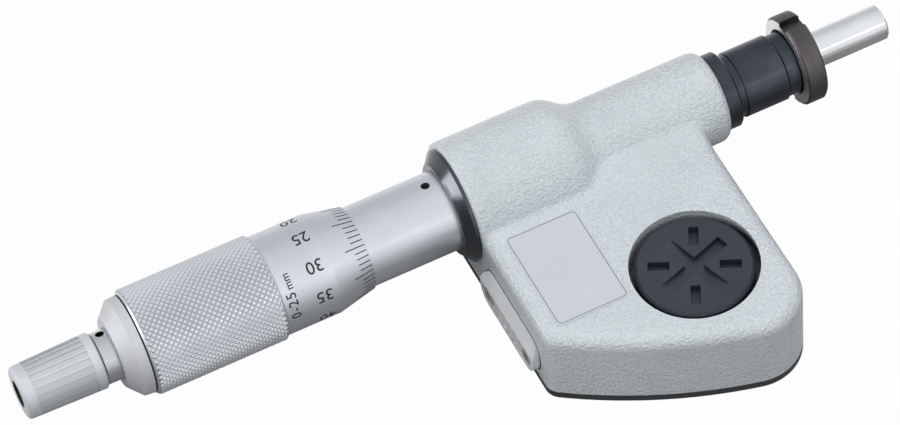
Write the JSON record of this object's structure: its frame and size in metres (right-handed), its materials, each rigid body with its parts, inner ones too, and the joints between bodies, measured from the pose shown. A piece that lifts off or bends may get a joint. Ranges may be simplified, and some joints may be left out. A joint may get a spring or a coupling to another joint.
{
  "type": "digital micrometer head",
  "caption": "Digital micrometer head with a plain clamp-nut stem, flat spindle, ratchet thimble and a sealed housing with a battery cap and a display on the far side.",
  "frame": {"origin": "on the spindle axis, where the plain 12 mm stem register begins", "axes": "+X along the spindle towards its measuring face, +Z towards the battery side of the housing, -Z towards the display; the housing box hangs to -Y"},
  "size_m": [0.164, 0.0612, 0.025],
  "materials": {
    "enamel": "pale grey hammered enamel, semi-gloss",
    "black_oxide_steel": "turned steel, black oxide, satin",
    "ground_steel": "ground hardened steel, bright",
    "satin_chrome": "satin chrome plated steel",
    "knurled_chrome": "satin chrome plated steel, knurled",
    "black_panel": "black moulded plastic, fine grain",
    "cap_plastic": "dark slate grey moulded plastic, satin",
    "cover_plastic": "grey moulded plastic, satin",
    "button_plastic": "grey moulded plastic",
    "white_plastic": "white moulded plastic",
    "clear_window": "clear acrylic",
    "lcd_glass": "liquid crystal glass, grey-green",
    "strip_rubber": "conductive strip, pinkish grey",
    "black_rubber": "nitrile rubber, black",
    "grey_rubber": "silicone rubber, grey",
    "board_green": "glass-epoxy board, green solder mask",
    "chip_black": "moulded package, black",
    "screw_steel": "zinc plated steel",
    "dark_screw_steel": "blackened steel",
    "cell_steel": "nickel plated cell can",
    "contact_gold": "gold plated spring bronze",
    "label_foil": "smooth printed foil, pale grey, bare",
    "brass": "turned brass",
    "tool_steel": "hardened steel",
    "spring_steel": "spring steel",
    "encoder_card": "etched circuit disc",
    "flex_amber": "polyimide flexible circuit",
    "black_anodised": "black anodised, fine turned"
  },
  "bodies": {
    "housing": {"housing": "enamel", "front_panel": "black_panel", "front_panel_screws": "dark_screw_steel", "panel_gasket": "black_rubber", "display_window": "clear_window", "display_panel": "lcd_glass", "display_frame": "white_plastic", "display_contact_strips": "strip_rubber", "main_board": "board_green", "board_screws": "screw_steel", "measuring_chip": "chip_black", "key_mat": "grey_rubber", "battery": "cell_steel", "battery_holder": "white_plastic", "battery_contact_minus": "contact_gold", "battery_contact_plus": "contact_gold", "connector_cover": "cover_plastic", "connector_cover_screws": "screw_steel", "connector_gasket": "black_rubber", "output_connector": "black_panel", "rating_label": "label_foil", "stem": "black_oxide_steel", "spindle_seal": "black_rubber", "encoder_stator": "encoder_card", "thrust_spring": "spring_steel", "encoder_flex": "flex_amber", "flex_socket": "white_plastic", "inner_sleeve": "tool_steel", "adjusting_nut": "tool_steel", "sleeve_ring": "black_anodised"},
    "sleeve": {"outer_sleeve": "satin_chrome"},
    "rotor": {"rotor_bush": "brass", "encoder_rotor": "encoder_card", "rotor_key": "tool_steel"},
    "spindle": {"spindle": "ground_steel", "thimble": "knurled_chrome", "cap_seal_ring": "black_rubber", "thimble_cap": "satin_chrome", "ratchet_collar": "satin_chrome", "ratchet_spring": "spring_steel", "ratchet_screw": "screw_steel"},
    "knob": {"ratchet_knob": "knurled_chrome"},
    "pawl": {"ratchet_pawl": "tool_steel"},
    "clamp_nut": {"clamp_nut": "black_oxide_steel"},
    "cap_ring": {"battery_cap_o_ring": "black_rubber"},
    "cap": {"battery_cap": "cap_plastic"},
    "button_left": {"button_left": "button_plastic"},
    "button_middle": {"button_middle": "button_plastic"},
    "button_right": {"button_right": "button_plastic"}
  },
  "joints": [
    {"name": "spindle_turn", "type": "hinge", "parent": "housing", "child": "rotor", "pos_m": [0, 0, 0], "axis": [1, 0, 0], "range_deg": [-7200.1, 10800.1]},
    {"name": "spindle_feed", "type": "slide", "parent": "rotor", "child": "spindle", "axis": [1, 0, 0], "range_m": [-0.01, 0.015]},
    {"name": "ratchet_turn", "type": "hinge", "parent": "spindle", "child": "knob", "pos_m": [0, 0, 0], "axis": [1, 0, 0], "continuous": true},
    {"name": "pawl_click", "type": "slide", "parent": "spindle", "child": "pawl", "axis": [1, 0, 0], "range_m": [0, 0.00045], "stiffness_N_per_m": 1000, "springref_m": -0.003},
    {"name": "clamp_nut_travel", "type": "slide", "parent": "housing", "child": "clamp_nut", "axis": [1, 0, 0], "range_m": [-0.0026, 0.022]},
    {"name": "sleeve_zero", "type": "hinge", "parent": "housing", "child": "sleeve", "pos_m": [0, 0, 0], "axis": [1, 0, 0], "range_deg": [-10, 10]},
    {"name": "cap_turn", "type": "hinge", "parent": "cap_ring", "child": "cap", "pos_m": [-0.0247, -0.0326, 0], "axis": [0, 0, 1], "range_deg": [-0.1, 1440.1]},
    {"name": "cap_lift", "type": "slide", "parent": "housing", "child": "cap_ring", "axis": [0, 0, 1], "range_m": [0, 0.003]},
    {"name": "button_left_press", "type": "slide", "parent": "housing", "child": "button_left", "axis": [0, 0, 1], "range_m": [0, 0.0004], "stiffness_N_per_m": 2500, "springref_m": -0.0002},
    {"name": "button_middle_press", "type": "slide", "parent": "housing", "child": "button_middle", "axis": [0, 0, 1], "range_m": [0, 0.0004], "stiffness_N_per_m": 2500, "springref_m": -0.0002},
    {"name": "button_right_press", "type": "slide", "parent": "housing", "child": "button_right", "axis": [0, 0, 1], "range_m": [0, 0.0004], "stiffness_N_per_m": 2500, "springref_m": -0.0002}
  ],
  "couplings": [
    {"joint": "spindle_turn", "follows": "spindle_feed", "rad_per_m": 12566},
    {"joint": "cap_turn", "follows": "cap_lift", "rad_per_m": 8377.6}
  ]
}
